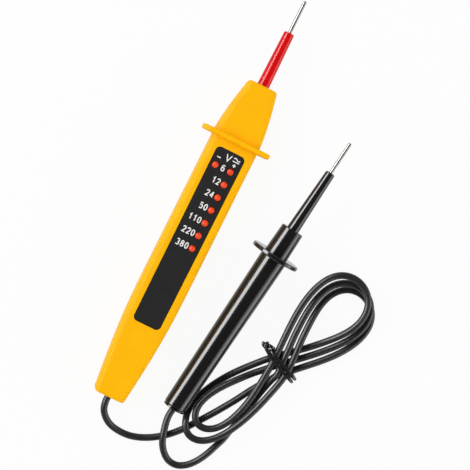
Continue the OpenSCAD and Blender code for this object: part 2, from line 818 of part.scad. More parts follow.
// A smooth join from the end of one loop to the start of the next
function joint_path(a, b) = let (n = len(a) - 1, p0 = a[n], p1 = b[0], l = norm(p1 - p0),
    m0 = l * unit(a[n] - a[n - 1]), m1 = l * unit(b[1] - b[0]))
    [for (i = [1:joint_steps]) let (t = i / (joint_steps + 1))
        (2 * t * t * t - 3 * t * t + 1) * p0 + (t * t * t - 2 * t * t + t) * m0
        + (3 * t * t - 2 * t * t * t) * p1 + (t * t * t - t * t) * m1];
function level(v) = unit([v[0], v[1], 0]);
loop_paths = [for (k = [0:len(loops) - 1]) loop_path(k)];
last_loop = loop_paths[len(loops) - 1];
hank_in_dir = level(loop_paths[0][1] - loop_paths[0][0]);
hank_out_dir = level(last_loop[loop_steps] - last_loop[loop_steps - 1]);
hank_path = concat(
    [for (s = [3, 2, 1]) loop_paths[0][0] - s * straight_end * hank_in_dir],
    [for (k = [0:len(loops) - 1])
        each concat(loop_paths[k], k < len(loops) - 1 ? joint_path(loop_paths[k], loop_paths[k + 1]) : [])],
    [for (s = [1, 2, 3]) last_loop[loop_steps] + s * straight_end * hank_out_dir]);

module cord_hank() {
    color(black) tube(hank_path, cord_r, 6, [0, 0, 1]);
}

// Free stretch from the tester's rear end to the bundle, along the surface
tester_route = [
    [0, -60, 8], [0, -62.7, 8], [0.9, -66.1, 7.3], [3.2, -69, 6], [6.5, -71.1, 4.6],
    [10.7, -72.1, 3.2], [15.4, -72.2, 2.1], [20.1, -71.1, 1.6], [24.5, -69.1, 1.5],
    [27.9, -66.9, 1.5], [31.4, -64.1, 1.5], [34.7, -60.7, 1.5], [37.5, -57.2, 1.5],
    [40.5, -53.1, 1.5], [43.9, -48.4, 1.5], [47.3, -43.4, 1.5], [50.6, -38.3, 1.5],
    [53.8, -32.9, 1.5], [56.9, -28.1, 1.5], [59.4, -24.8, 1.7]];
tester_path = concat(tester_route,
    [hank_path[0] - straight_end * hank_in_dir, hank_path[0]]);

module cord_tester_end() {
    color(black) tube(tester_path, cord_r, 8, [0, 0, 1]);
}

// Free stretch from the bundle to the probe's rear end
probe_route = [
    [59.8, -24.1, 5.4], [58.9, -27.9, 4.65], [58, -31.9, 4.2], [57.3, -36.1, 3.6],
    [56.4, -40.4, 2.6], [55.6, -44.6, 1.8], [54.9, -48.8, 1.5], [54, -52.3, 1.5],
    [53.2, -55.9, 1.5], [51.6, -60.2, 1.5], [49.9, -64.5, 1.5], [47.5, -68.9, 1.5],
    [44.3, -72.6, 1.5], [40.4, -74.7, 1.5], [36.4, -74.5, 1.9], [33.1, -72.4, 3],
    [30.5, -69.2, 4.3], [28.9, -65.6, 5.2], [27.9, -61.8, 5.2], [27.3, -58.5, 5]];
last_ring = len(hank_path) - 1;
function turn_x(v, a) = [v[0], v[1] * cos(a) - v[2] * sin(a), v[1] * sin(a) + v[2] * cos(a)];
function turn_z(v, a) = [v[0] * cos(a) - v[1] * sin(a), v[0] * sin(a) + v[1] * cos(a), v[2]];
probe_dir = turn_z(turn_x([0, 1, 0], probe_tilt), -probe_yaw);
probe_butt = [probe_x, probe_station - origin_station, barrel_r * cos(probe_tilt)];
probe_path = concat(
    [hank_path[last_ring], hank_path[last_ring] + straight_end * hank_out_dir],
    probe_route,
    [probe_butt - straight_end * probe_dir, probe_butt]);

module cord_probe_end() {
    color(black) tube(probe_path, cord_r, 8, [0, 0, 1]);
}

// The tie: a wire wound twice round the waist, its ends twisted together on top

tie_d = 1.4;
tie_half_w = 8.3;
tie_half_h = 4.5;
tie_z = 5.21;
tie_turns = 2;
tie_steps = 20;
tie_advance = 1.8;
tie_square = 0.45;
tie_start = 118;
bundle_dir = slot_dir - 90;
function signed_pow(v, p) = sign(v) * pow(abs(v), p);
function tie_frame(n, u, z) = let (f = waist + n * heading(slot_dir) + u * heading(bundle_dir))
    [f[0], f[1], z];
function tie_point(t) = let (a = tie_start - 360 * tie_turns * t)
    tie_frame(tie_half_w * -signed_pow(cos(a), tie_square), tie_advance * (tie_turns * t - tie_turns / 2),
        tie_z + tie_half_h * signed_pow(sin(a), tie_square));
wrap_end = 0.95;
wrap_path = [for (i = [0:tie_turns * tie_steps]) tie_point(wrap_end * i / (tie_turns * tie_steps))];

// The two ends, twisted together beside the bundle
knot_turns = 0.75;
knot_steps = 18;
knot_r = 1;
knot_from = tie_frame(10.3, 0, 9.3);
knot_to = tie_frame(12, 0, 7);
knot_u = [heading(bundle_dir)[0], heading(bundle_dir)[1], 0];
knot_v = unit(cross(knot_to - knot_from, knot_u));
function strand(phase) = [for (i = [0:knot_steps]) let (t = i / knot_steps, a = phase + 360 * knot_turns * t)
    mix(knot_from, knot_to, t) + knot_r * cos(a) * knot_u + knot_r * sin(a) * knot_v];
tie_path = concat(backwards(strand(180)), wrap_path, strand(0));

module cord_tie() {
    color(black) tube(tie_path, tie_d / 2, 6, knot_u);
}

// Least distance between two runs of the lead, measured on points along it
check_split = 4;
function finer(p) = [for (i = [0:len(p) - 2]) for (k = [0:check_split - 1])
    mix(p[i], p[i + 1], k / check_split)];
function path_len(p) = len(p) < 2 ? 0 : [for (i = 0, s = 0; i < len(p); i = i + 1,
    s = i < len(p) ? s + norm(p[i] - p[i - 1]) : s) s][len(p) - 1];
function self_gap(q, skip) = min([for (i = [0:len(q) - 1]) for (j = [i + skip:1:len(q) - 1])
    norm(q[i] - q[j])]);
function pair_gap(a, b) = min([for (p = a) for (q = b) norm(p - q)]);
fine_hank = finer(hank_path);
fine_tester = finer([for (i = [0:len(tester_path) - 3]) tester_path[i]]);
fine_probe = finer([for (i = [2:len(probe_path) - 1]) probe_path[i]]);
union() {  // cord_hank
    echo(least_gap_in_hank = self_gap(fine_hank, 4 * check_split) - lead_d);
    echo(least_gap_tester_stretch_to_hank = pair_gap(fine_tester, fine_hank) - lead_d);
    echo(least_gap_probe_stretch_to_hank = pair_gap(fine_probe, fine_hank) - lead_d);
    echo(least_gap_between_stretches = pair_gap(fine_probe, fine_tester) - lead_d);
    echo(lead_length = path_len(hank_path) + path_len(tester_path) + path_len(probe_path));
}

front_shell();
rear_shell();
display_panel();
light(0);  // polarity_light
light(1);  // light_6
light(2);  // light_12
light(3);  // light_24
light(4);  // light_50
light(5);  // light_110
light(6);  // light_220
light(7);  // light_380
circuit_board();
resistors();
diodes();
housing_screws();
red_sleeve();
tester_pin();
pin_crimp();
pin_wire();
lead_gland();
lead_clamp();
lead_jacket();
lead_core();
probe_barrel();
probe_collar();
probe_stem();
probe_pin();
probe_cap();
probe_crimp();
probe_jacket();
probe_core();
cord_tester_end();
cord_hank();
cord_probe_end();
cord_tie();
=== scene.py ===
# Blender scene for a two-pole voltage tester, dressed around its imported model.
import math

import bmesh
import bpy
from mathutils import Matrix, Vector

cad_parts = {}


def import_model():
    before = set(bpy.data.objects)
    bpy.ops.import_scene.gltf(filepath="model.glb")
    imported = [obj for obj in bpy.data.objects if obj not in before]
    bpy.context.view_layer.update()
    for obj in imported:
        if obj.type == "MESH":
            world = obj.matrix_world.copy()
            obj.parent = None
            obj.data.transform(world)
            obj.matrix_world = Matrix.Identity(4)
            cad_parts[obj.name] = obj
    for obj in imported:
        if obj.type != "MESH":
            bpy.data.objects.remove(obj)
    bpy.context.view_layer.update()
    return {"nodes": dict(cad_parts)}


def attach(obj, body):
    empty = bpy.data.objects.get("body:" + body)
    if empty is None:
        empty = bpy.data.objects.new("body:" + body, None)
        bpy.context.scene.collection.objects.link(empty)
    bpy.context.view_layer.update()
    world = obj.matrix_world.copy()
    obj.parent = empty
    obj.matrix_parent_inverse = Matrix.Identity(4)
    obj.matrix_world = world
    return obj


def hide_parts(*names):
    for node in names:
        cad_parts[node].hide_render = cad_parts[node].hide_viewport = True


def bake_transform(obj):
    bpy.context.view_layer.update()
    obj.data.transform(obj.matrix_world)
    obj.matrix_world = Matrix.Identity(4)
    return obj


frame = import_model()
MM = 0.001


def vec(p):
    return Vector([c * MM for c in p])


# Camera: almost straight above, a little from the left
CAM_AT = (-85.0, 40.0, 990.0)
CAM_TO = (17.69, 25.03, 8.0)
CAM_ROLL = math.radians(26.661)
CAM_LENS = 177.87
CAM_SENSOR = 36.0
CAM_NEAR = 0.05
CAM_FAR = 20.0


def make_camera():
    data = bpy.data.cameras.new("camera")
    data.lens = CAM_LENS
    data.sensor_width = CAM_SENSOR
    data.clip_start = CAM_NEAR
    data.clip_end = CAM_FAR
    cam = bpy.data.objects.new("camera", data)
    bpy.context.collection.objects.link(cam)
    eye = vec(CAM_AT)
    forward = (vec(CAM_TO) - eye).normalized()
    up_hint = Vector((-math.sin(CAM_ROLL), math.cos(CAM_ROLL), 0.0))
    right = forward.cross(up_hint).normalized()
    up = right.cross(forward)
    m = cam.matrix_world.copy()
    for i in range(3):
        m[i][0] = right[i]
        m[i][1] = up[i]
        m[i][2] = -forward[i]
        m[i][3] = eye[i]
    cam.matrix_world = m
    bpy.context.scene.camera = cam


make_camera()


# The lead's route, repeated from the part's source

def clamp01(t):
    return min(1.0, max(0.0, t))


def smooth(t):
    c = clamp01(t)
    return c * c * (3 - 2 * c)


def mix(a, b, t):
    return a + (b - a) * t


def mixv(a, b, t):
    return [mix(p, q, t) for p, q in zip(a, b)]


def minus(a, b):
    return [p - q for p, q in zip(a, b)]


def unit(v):
    length = math.sqrt(sum(c * c for c in v))
    return [c / length for c in v]


def heading(a):
    return [math.cos(math.radians(a)), math.sin(math.radians(a))]


LEAD_D = 3.0
WAIST = [60.9, -15.8]
SLOT_DIR = 155.0
SLOT_PITCH = 4.35
WAIST_LOW = 3.1
WAIST_HIGH = 6.74
FLOOR_Z = 1.5
SECOND_Z = 5.0
BRIDGE_Z = 5.3
THIRD_Z = 8.5
HOLD_LEN = 17.0
LOW_RUN_FROM = 9.0
LOW_RUN_LEN = 10.0
HIGH_RUN_FROM = 11.0
HIGH_RUN_LEN = 11.0
LOOP_SHARE = 0.045
LOOP_STEPS = 20
JOINT_STEPS = 3
STRAIGHT_END = 3.0
MIDDLE_SLOT = 2
# Share of a loop's length at which its runs reach the height of its far end
FAR_SHARE = 0.8
# The loop that drops to the floor on its way back, and where, as shares of its route
UNDER_LOOP = 1
DROP_FROM = 0.57
DROP_LEN = 0.11
CLIMB_FROM = 0.6
# Each loop: slots in and out, length, half width, direction, bow, height at its far end,
# heights at the tie on the way out and back, side of its axis that it takes first, and how
# far its slot fades out at its far end
LOOPS = [
    (3, 3, 46.0, 11.4, 67.7, 0.0, FLOOR_Z, WAIST_LOW, WAIST_HIGH, -1, 0.31),
    (3, 1, 49.8, 7.5, 241.3, 1.5, BRIDGE_Z, WAIST_HIGH, WAIST_LOW, 1, 0.36),
    (1, 1, 48.1, 11.9, 67.1, 1.1, THIRD_Z, WAIST_LOW, WAIST_HIGH, -1, 0.33),
    (1, 2, 43.9, 8.3, 245.2, -1.1, SECOND_Z, WAIST_HIGH, WAIST_LOW, 1, 0.29),
    (2, 2, 47.2, 11.7, 67.7, -0.2, SECOND_Z, WAIST_LOW, WAIST_HIGH, -1, 0.35),
]


def layer_left(x, length):
    """How far a run has left its layer for the far end's height, at a distance from the tie."""
    return smooth((x - HOLD_LEN) / (FAR_SHARE * length - HOLD_LEN))


def return_z(k, t, x):
    """Height of a loop's run back to the tie."""
    _, _, length, _, _, _, far_z, _, back_z, side, _ = LOOPS[k]
    if side < 0:
        return mix(back_z, far_z, layer_left(x, length))
    if k == UNDER_LOOP:
        climb = 1 - smooth((x - LOW_RUN_FROM) / LOW_RUN_LEN) if t > CLIMB_FROM else 0
        return mix(far_z, FLOOR_Z, smooth((t - DROP_FROM) / DROP_LEN)) + (back_z - FLOOR_Z) * climb
    return mix(back_z, far_z, smooth((x - HIGH_RUN_FROM) / HIGH_RUN_LEN))


def loop_point(k, t):
    """Point of a loop, from the tie at t = 0 round its far end and back to the tie at t = 1."""
    slot_in, slot_out, length, half_w, turn, bow, far_z, out_z, _, side, fade = LOOPS[k]
    wave = math.sin(math.pi * t)
    x = length * wave
    y = side * half_w * math.sin(2 * math.pi * t) + bow * wave * wave
    slot = mix(MIDDLE_SLOT - slot_in, MIDDLE_SLOT - slot_out, smooth(t)) * SLOT_PITCH * (1 - fade * wave)
    if t < 0.5:
        z = mix(out_z, far_z, layer_left(x, length))
    else:
        z = return_z(k, t, x)
    a, b, c = heading(turn), heading(turn + 90), heading(SLOT_DIR)
    return [WAIST[i] + x * a[i] + y * b[i] + slot * c[i] for i in (0, 1)] + [z]


def loop_path(k):
    steps = [mix(LOOP_SHARE, 1 - LOOP_SHARE, i / LOOP_STEPS) for i in range(LOOP_STEPS + 1)]
    return [loop_point(k, t) for t in steps]


def joint_path(a, b):
    """Points of a smooth curve from the end of one loop to the start of the next."""
    p0, p1 = a[-1], b[0]
    length = math.dist(p0, p1)
    m0 = [length * c for c in unit(minus(a[-1], a[-2]))]
    m1 = [length * c for c in unit(minus(b[1], b[0]))]
    out = []
    for i in range(1, JOINT_STEPS + 1):
        t = i / (JOINT_STEPS + 1)
        w = (2 * t**3 - 3 * t**2 + 1, t**3 - 2 * t**2 + t, 3 * t**2 - 2 * t**3, t**3 - t**2)
        out.append([w[0] * p0[j] + w[1] * m0[j] + w[2] * p1[j] + w[3] * m1[j] for j in range(3)])
    return out


def level(v):
    return unit([v[0], v[1], 0.0])


def hank_route():
    """The bundle's route, and the directions in which the lead enters and leaves it."""
    paths = [loop_path(k) for k in range(len(LOOPS))]
    first = level(minus(paths[0][1], paths[0][0]))
    last = level(minus(paths[-1][-1], paths[-1][-2]))
    route = [[paths[0][0][j] - s * STRAIGHT_END * first[j] for j in range(3)] for s in (3, 2, 1)]
    for k, path in enumerate(paths):
        route += path
        if k + 1 < len(paths):
            route += joint_path(path, paths[k + 1])
    route += [[paths[-1][-1][j] + s * STRAIGHT_END * last[j] for j in range(3)] for s in (1, 2, 3)]
    return route, first, last


HANK, HANK_IN, HANK_OUT = hank_route()
TESTER_ROUTE = [
    [0, -60, 8], [0, -62.7, 8], [0.9, -66.1, 7.3], [3.2, -69, 6], [6.5, -71.1, 4.6],
    [10.7, -72.1, 3.2], [15.4, -72.2, 2.1], [20.1, -71.1, 1.6], [24.5, -69.1, 1.5],
    [27.9, -66.9, 1.5], [31.4, -64.1, 1.5], [34.7, -60.7, 1.5], [37.5, -57.2, 1.5],
    [40.5, -53.1, 1.5], [43.9, -48.4, 1.5], [47.3, -43.4, 1.5], [50.6, -38.3, 1.5],
    [53.8, -32.9, 1.5], [56.9, -28.1, 1.5], [59.4, -24.8, 1.7],
]
PROBE_ROUTE = [
    [59.8, -24.1, 5.4], [58.9, -27.9, 4.65], [58, -31.9, 4.2], [57.3, -36.1, 3.6],
    [56.4, -40.4, 2.6], [55.6, -44.6, 1.8], [54.9, -48.8, 1.5], [54, -52.3, 1.5],
    [53.2, -55.9, 1.5], [51.6, -60.2, 1.5], [49.9, -64.5, 1.5], [47.5, -68.9, 1.5],
    [44.3, -72.6, 1.5], [40.4, -74.7, 1.5], [36.4, -74.5, 1.9], [33.1, -72.4, 3],
    [30.5, -69.2, 4.3], [28.9, -65.6, 5.2], [27.9, -61.8, 5.2], [27.3, -58.5, 5],
]

# The hand probe's rear end and direction, repeated from the part's source
PROBE_X = 27.6
PROBE_STATION = 6.9
ORIGIN_STATION = 60.0
PROBE_YAW = 6.7
BARREL_R = 5.1
DISC_R = 11.0
DISC_AT = 78.6
PROBE_TILT = math.degrees(math.asin((DISC_R - BARREL_R) / DISC_AT))


def probe_direction():
    tilt, yaw = math.radians(PROBE_TILT), math.radians(PROBE_YAW)
    return [math.sin(yaw) * math.cos(tilt), math.cos(yaw) * math.cos(tilt), math.sin(tilt)]


PROBE_DIR = probe_direction()
PROBE_BUTT = [PROBE_X, PROBE_STATION - ORIGIN_STATION, BARREL_R * math.cos(math.radians(PROBE_TILT))]
TESTER_PATH = TESTER_ROUTE + [[HANK[0][j] - STRAIGHT_END * HANK_IN[j] for j in range(3)]] + HANK
PROBE_PATH = [HANK[-1], [HANK[-1][j] + STRAIGHT_END * HANK_OUT[j] for j in range(3)]] + PROBE_ROUTE
PROBE_PATH += [[PROBE_BUTT[j] - STRAIGHT_END * PROBE_DIR[j] for j in range(3)], PROBE_BUTT]


# The tie: wound twice round the waist, its ends twisted together beside it
TIE_D = 1.4
TIE_HALF_W = 8.3
TIE_HALF_H = 4.5
TIE_Z = 5.21
TIE_TURNS = 2
TIE_STEPS = 20
TIE_ADVANCE = 1.8
TIE_SQUARE = 0.45
TIE_START = 118.0
WRAP_END = 0.95
KNOT_TURNS = 0.75
KNOT_STEPS = 18
KNOT_R = 1.0
KNOT_START = (10.3, 9.3)
KNOT_STOP = (12.0, 7.0)


def tie_frame(n, u, z):
    """Point at the waist: n across the bundle, u along it, z up."""
    a, b = heading(SLOT_DIR), heading(SLOT_DIR - 90)
    return [WAIST[i] + n * a[i] + u * b[i] for i in (0, 1)] + [z]


def signed_pow(v, p):
    return math.copysign(abs(v) ** p, v)


def tie_point(t):
    a = math.radians(TIE_START - 360 * TIE_TURNS * t)
    return tie_frame(
        -TIE_HALF_W * signed_pow(math.cos(a), TIE_SQUARE), TIE_ADVANCE * (TIE_TURNS * t - TIE_TURNS / 2),
        TIE_Z + TIE_HALF_H * signed_pow(math.sin(a), TIE_SQUARE))


KNOT_FROM = tie_frame(KNOT_START[0], 0, KNOT_START[1])
KNOT_TO = tie_frame(KNOT_STOP[0], 0, KNOT_STOP[1])
KNOT_U = heading(SLOT_DIR - 90) + [0.0]
KNOT_V = list(Vector(minus(KNOT_TO, KNOT_FROM)).cross(Vector(KNOT_U)).normalized())


def strand(phase):
    """One of the two ends that are twisted round each other beside the bundle."""
    out = []
    for i in range(KNOT_STEPS + 1):
        t = i / KNOT_STEPS
        a = math.radians(phase + 360 * KNOT_TURNS * t)
        c = mixv(KNOT_FROM, KNOT_TO, t)
        out.append([c[j] + KNOT_R * (math.cos(a) * KNOT_U[j] + math.sin(a) * KNOT_V[j]) for j in range(3)])
    return out


WRAP = [tie_point(WRAP_END * i / (TIE_TURNS * TIE_STEPS)) for i in range(TIE_TURNS * TIE_STEPS + 1)]
TIE_PATH = strand(180)[::-1] + WRAP + strand(0)


def refine(points, parts):
    """Catmull-Rom points through a route, with the given number of parts per stretch."""
    out = []
    n = len(points)
    for i in range(n - 1):
        p0 = points[i - 1] if i else mixv(points[1], points[0], 2)
        p1, p2 = points[i], points[i + 1]
        p3 = points[i + 2] if i + 2 < n else mixv(p1, p2, 2)
        for k in range(parts):
            t = k / parts
            a = [-0.5 * t + t * t - 0.5 * t**3, 1 - 2.5 * t * t + 1.5 * t**3]
            b = [0.5 * t + 2 * t * t - 1.5 * t**3, -0.5 * t * t + 0.5 * t**3]
            out.append([a[0] * p0[j] + a[1] * p1[j] + b[0] * p2[j] + b[1] * p3[j] for j in range(3)])
    out.append(list(points[-1]))
    return out


def add_object(name, bm, smooth_quads=False):
    """New object in the scene from a bmesh, which is freed."""
    mesh = bpy.data.meshes.new(name)
    bm.to_mesh(mesh)
    bm.free()
    if smooth_quads:
        for f in mesh.polygons:
            f.use_smooth = len(f.vertices) == 4
    obj = bpy.data.objects.new(name, mesh)
    bpy.context.collection.objects.link(obj)
    return obj


def tube(name, points, radius, sides, parts):
    """A round tube through a route in millimetres, its frame carried along without twist."""
    path = [Vector(p) for p in refine(points, parts)]
    bm = bmesh.new()
    rings = []
    side = None
    for i, p in enumerate(path):
        ahead = path[min(i + 1, len(path) - 1)]
        behind = path[max(i - 1, 0)]
        along = (ahead - behind).normalized()
        if side is None:
            side = along.cross(Vector((0, 0, 1))).normalized()
        side = (side - along * side.dot(along)).normalized()
        other = along.cross(side)
        ring = []
        for k in range(sides):
            a = 2 * math.pi * k / sides
            x, y = radius * math.cos(a), radius * math.sin(a)
            ring.append(bm.verts.new((p + side * x + other * y) * MM))
        rings.append(ring)
    for a, b in zip(rings, rings[1:]):
        for k in range(sides):
            bm.faces.new((a[k], a[(k + 1) % sides], b[(k + 1) % sides], b[k]))
    bm.faces.new(list(reversed(rings[0])))
    bm.faces.new(rings[-1])
    bmesh.ops.recalc_face_normals(bm, faces=bm.faces)
    return add_object(name, bm, smooth_quads=True)


LEAD_SIDES = 20
LEAD_PARTS = 4
TIE_SIDES = 12
TIE_PARTS = 2

lead = tube("lead_folded", TESTER_PATH, LEAD_D / 2, LEAD_SIDES, LEAD_PARTS)
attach(lead, "tester")
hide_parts("cord_tester_end", "cord_hank")

probe_lead = tube("lead_to_probe", PROBE_PATH, LEAD_D / 2, LEAD_SIDES, LEAD_PARTS)
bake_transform(probe_lead)
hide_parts("cord_probe_end")

tie = tube("lead_tie", TIE_PATH, TIE_D / 2, TIE_SIDES, TIE_PARTS)
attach(tie, "tester")
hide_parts("cord_tie")


# Materials

def linear(rgb):
    """Colour as it reads on screen, 0 to 255, to the renderer's own scale."""
    out = []
    for c in rgb:
        c = c / 255
        out.append(c / 12.92 if c <= 0.04045 else ((c + 0.055) / 1.055) ** 2.4)
    return (*out, 1.0)


class Nodes:
    """A material under construction: its nodes and links by short names."""

    def __init__(self, name):
        self.mat = bpy.data.materials.new(name)
        self.mat.use_nodes = True
        self.tree = self.mat.node_tree
        self.tree.nodes.clear()
        self.out = self.tree.nodes.new("ShaderNodeOutputMaterial")
        self.bsdf = self.tree.nodes.new("ShaderNodeBsdfPrincipled")
        self.link(self.bsdf.outputs["BSDF"], self.out.inputs["Surface"])
        coord = self.tree.nodes.new("ShaderNodeTexCoord")
        self.place = coord.outputs["Object"]

    def link(self, a, b):
        self.tree.links.new(a, b)

    def set(self, **values):
        for key, value in values.items():
            self.bsdf.inputs[key.replace("_", " ")].default_value = value

    def colour(self, output):
        self.link(output, self.bsdf.inputs["Base Color"])

    def roughness(self, scale, detail, low, high):
        self.link(self.span(self.noise(scale, detail), low, high), self.bsdf.inputs["Roughness"])

    def axis(self, letter):
        node = self.tree.nodes.new("ShaderNodeSeparateXYZ")
        self.link(self.place, node.inputs["Vector"])
        return node.outputs[letter]

    def scaled(self, scale):
        node = self.tree.nodes.new("ShaderNodeMapping")
        node.inputs["Scale"].default_value = scale
        self.link(self.place, node.inputs["Vector"])
        return node.outputs["Vector"]

    def noise(self, scale, detail=3.0, rough=0.55, vector=None):
        node = self.tree.nodes.new("ShaderNodeTexNoise")
        node.inputs["Scale"].default_value = scale
        node.inputs["Detail"].default_value = detail
        node.inputs["Roughness"].default_value = rough
        self.link(vector or self.place, node.inputs["Vector"])
        return node.outputs["Fac"]

    def ramp(self, fac, stops):
        node = self.tree.nodes.new("ShaderNodeValToRGB")
        e = node.color_ramp.elements
        while len(e) < len(stops):
            e.new(0.5)
        for item, (at, colour) in zip(e, stops):
            item.position = at
            item.color = colour
        self.link(fac, node.inputs["Fac"])
        return node.outputs["Color"]

    def span(self, fac, low, high):
        node = self.tree.nodes.new("ShaderNodeMapRange")
        node.inputs["To Min"].default_value = low
        node.inputs["To Max"].default_value = high
        self.link(fac, node.inputs["Value"])
        return node.outputs["Result"]

    def bump(self, height, strength, distance, normal=None):
        node = self.tree.nodes.new("ShaderNodeBump")
        node.inputs["Strength"].default_value = strength
        node.inputs["Distance"].default_value = distance
        self.link(height, node.inputs["Height"])
        if normal is not None:
            self.link(normal, node.inputs["Normal"])
        self.link(node.outputs["Normal"], self.bsdf.inputs["Normal"])
        return node.outputs["Normal"]


def shade(rgb, factor):
    r, g, b, a = linear(rgb)
    return (min(1.0, r * factor), min(1.0, g * factor), min(1.0, b * factor), a)


# Painted shade: a thin darker line along the seam where the two shells meet, in place of the shade in that
# seam
PARTING_Z = 0.008
PARTING_HALF = 0.00009
PAINTED_SEAM_SHADE = (0.4, 0.33, 0.3, 1)


def paint_seam_shade(m, colour):
    """Darkens a colour in a thin line at the height where the two shells meet: painted shade standing in
    for the shade in the seam between them.
    """
    near = m.tree.nodes.new("ShaderNodeMath")
    near.operation = "COMPARE"
    near.inputs[1].default_value = PARTING_Z
    near.inputs[2].default_value = PARTING_HALF
    m.link(m.axis("Z"), near.inputs[0])
    seam_shade = m.ramp(near.outputs[0], [(0.0, (1, 1, 1, 1)), (1.0, PAINTED_SEAM_SHADE)])
    product = m.tree.nodes.new("ShaderNodeVectorMath")
    product.operation = "MULTIPLY"
    m.link(colour, product.inputs[0])
    m.link(seam_shade, product.inputs[1])
    return product.outputs["Vector"]


GRAIN_DEPTH = 0.00002
POLISHED_DEPTH = 0.00001


def moulded(name, rgb, rough, vary, grain=2600.0, depth=GRAIN_DEPTH, strength=0.25, spec=0.5,
            ior=1.5, with_seam_shade=False):
    """Injection-moulded plastic: faint flow mottling, a fine spark-eroded grain, uneven gloss, and where
    asked a painted shade line along the shells' seam.
    """
    m = Nodes(name)
    broad = m.noise(70.0, detail=4.0, rough=0.6)
    colour = m.ramp(broad, [(0.3, shade(rgb, 1 - vary)), (0.7, shade(rgb, 1 + vary / 2))])
    # Painted shade along the seam between the two shells
    if with_seam_shade:
        colour = paint_seam_shade(m, colour)
    m.colour(colour)
    m.roughness(320.0, detail=3.0, low=rough * 0.85, high=rough * 1.15)
    fine = m.bump(m.noise(grain, detail=2.0), strength, depth)
    m.bump(m.noise(45.0, detail=2.0), strength=0.15, distance=0.0002, normal=fine)
    m.set(Specular_IOR_Level=spec, IOR=ior)
    return m.mat


def lead_material(name, rgb, rough):
    """Soft lead jacket: satin, slightly dusty, with a fine extruded grain."""
    m = Nodes(name)
    tones = [(0.25, shade(rgb, 0.75)), (0.6, shade(rgb, 1.0)), (0.85, shade(rgb, 1.5))]
    m.colour(m.ramp(m.noise(160.0, detail=5.0, rough=0.65), tones))
    m.roughness(420.0, detail=3.0, low=rough * 0.8, high=rough * 1.2)
    fine = m.bump(m.noise(1900.0, detail=2.0), strength=0.2, distance=GRAIN_DEPTH)
    m.bump(m.noise(110.0, detail=2.0), strength=0.2, distance=0.0001, normal=fine)
    m.set(Specular_IOR_Level=0.34)
    return m.mat


# Stretches a noise into lines along the rods, which point roughly along Y
DRAWN = (900.0, 60.0, 900.0)


def metal(name, rgb, rough):
    """Drawn metal: fine lines along the rod and faint stains."""
    m = Nodes(name)
    lines = m.noise(6.0, detail=4.0, rough=0.6, vector=m.scaled(DRAWN))
    tones = [(0.3, shade(rgb, 0.86)), (0.7, shade(rgb, 1.0))]
    m.colour(m.ramp(m.noise(240.0, detail=4.0), tones))
    m.link(m.span(lines, rough * 0.7, rough * 1.4), m.bsdf.inputs["Roughness"])
    m.bump(lines, strength=0.12, distance=GRAIN_DEPTH)
    m.set(Metallic=1.0)
    return m.mat


def light_material(name, rgb):
    """Frosted red light: slightly milky, with a soft gloss."""
    m = Nodes(name)
    tones = [(0.3, shade(rgb, 0.92)), (0.7, shade(rgb, 1.06))]
    m.colour(m.ramp(m.noise(900.0, detail=3.0), tones))
    m.roughness(1500.0, detail=2.0, low=0.42, high=0.55)
    m.bump(m.noise(2200.0, detail=2.0), strength=0.15, distance=GRAIN_DEPTH)
    m.set(Subsurface_Weight=0.2, Subsurface_Scale=0.0006, Specular_IOR_Level=0.15)
    return m.mat


def board_material(name):
    """Green board with copper tracks under the lacquer."""
    m = Nodes(name)
    brick = m.tree.nodes.new("ShaderNodeTexBrick")
    brick.inputs["Scale"].default_value = 1.0
    brick.inputs["Brick Width"].default_value = 0.0062
    brick.inputs["Row Height"].default_value = 0.0019
    brick.inputs["Mortar Size"].default_value = 0.00022
    brick.inputs["Color1"].default_value = linear((24, 92, 48))
    brick.inputs["Color2"].default_value = linear((28, 100, 52))
    brick.inputs["Mortar"].default_value = linear((92, 150, 70))
    m.link(m.place, brick.inputs["Vector"])
    m.colour(brick.outputs["Color"])
    m.roughness(500.0, detail=2.0, low=0.25, high=0.4)
    m.bump(brick.outputs["Fac"], strength=0.2, distance=0.00004)
    return m.mat


# The stretch across the board in which the components' bodies lie, and the painted share of a ring
BANDS_FROM = -0.0043
BANDS_TO = 0.0019
BAND_SHARE = 0.45
RESISTOR_RINGS = [(140, 70, 30), (20, 20, 20), (230, 120, 20), (190, 160, 60)]
DIODE_RINGS = [(220, 220, 215)]


def banded(name, body, bands, first, pitch, rough):
    """Component body with painted rings across it."""
    m = Nodes(name)
    stops = [(0.0, linear(body))]
    for i, colour in enumerate(bands):
        at = first + i * pitch
        stops += [(at, linear(colour)), (at + pitch * BAND_SHARE, linear(body))]
    node = m.tree.nodes.new("ShaderNodeMapRange")
    node.inputs["From Min"].default_value = BANDS_FROM
    node.inputs["From Max"].default_value = BANDS_TO
    m.link(m.axis("X"), node.inputs["Value"])
    colour = m.ramp(node.outputs["Result"], stops)
    colour.node.color_ramp.interpolation = "CONSTANT"
    m.colour(colour)
    m.roughness(900.0, detail=2.0, low=rough * 0.8, high=rough * 1.2)
    m.bump(m.noise(1400.0, detail=2.0), strength=0.1, distance=GRAIN_DEPTH)
    return m.mat


